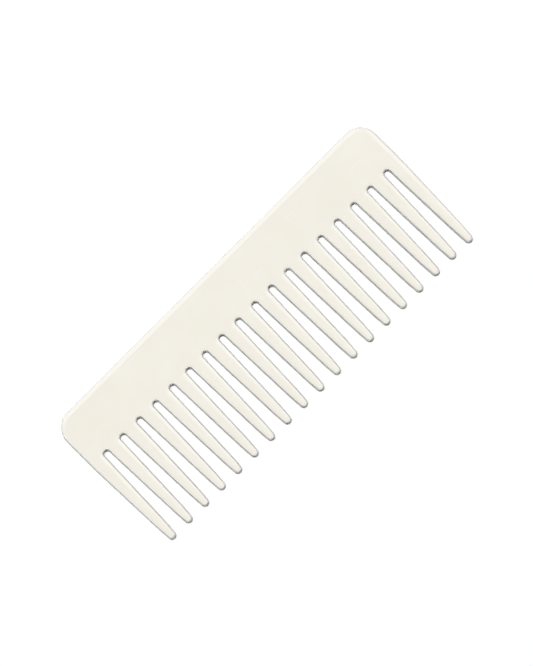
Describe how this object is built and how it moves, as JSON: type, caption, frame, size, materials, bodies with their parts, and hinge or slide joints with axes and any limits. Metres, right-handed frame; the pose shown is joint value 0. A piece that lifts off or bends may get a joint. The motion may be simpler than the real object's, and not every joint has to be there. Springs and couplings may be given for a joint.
{
  "type": "wide tooth comb",
  "caption": "Flat one-piece wide tooth comb with a deep rounded spine for a grip and one row of long, tapered, round-tipped teeth.",
  "frame": {"origin": "on the flat underside, below the middle of the outline", "axes": "+X along the comb, +Y towards the back edge, so the teeth point to -Y, +Z through the thickness"},
  "size_m": [0.1544, 0.0582, 0.004],
  "materials": {
    "cream_plastic": "satin"
  },
  "bodies": {
    "root": {"spine": "cream_plastic", "tooth_01": "cream_plastic", "tooth_02": "cream_plastic", "tooth_03": "cream_plastic", "tooth_04": "cream_plastic", "tooth_05": "cream_plastic", "tooth_06": "cream_plastic", "tooth_07": "cream_plastic", "tooth_08": "cream_plastic", "tooth_09": "cream_plastic", "tooth_10": "cream_plastic", "tooth_11": "cream_plastic", "tooth_12": "cream_plastic", "tooth_13": "cream_plastic", "tooth_14": "cream_plastic", "tooth_15": "cream_plastic", "tooth_16": "cream_plastic", "tooth_17": "cream_plastic", "tooth_18": "cream_plastic", "tooth_19": "cream_plastic"}
  },
  "joints": []
}
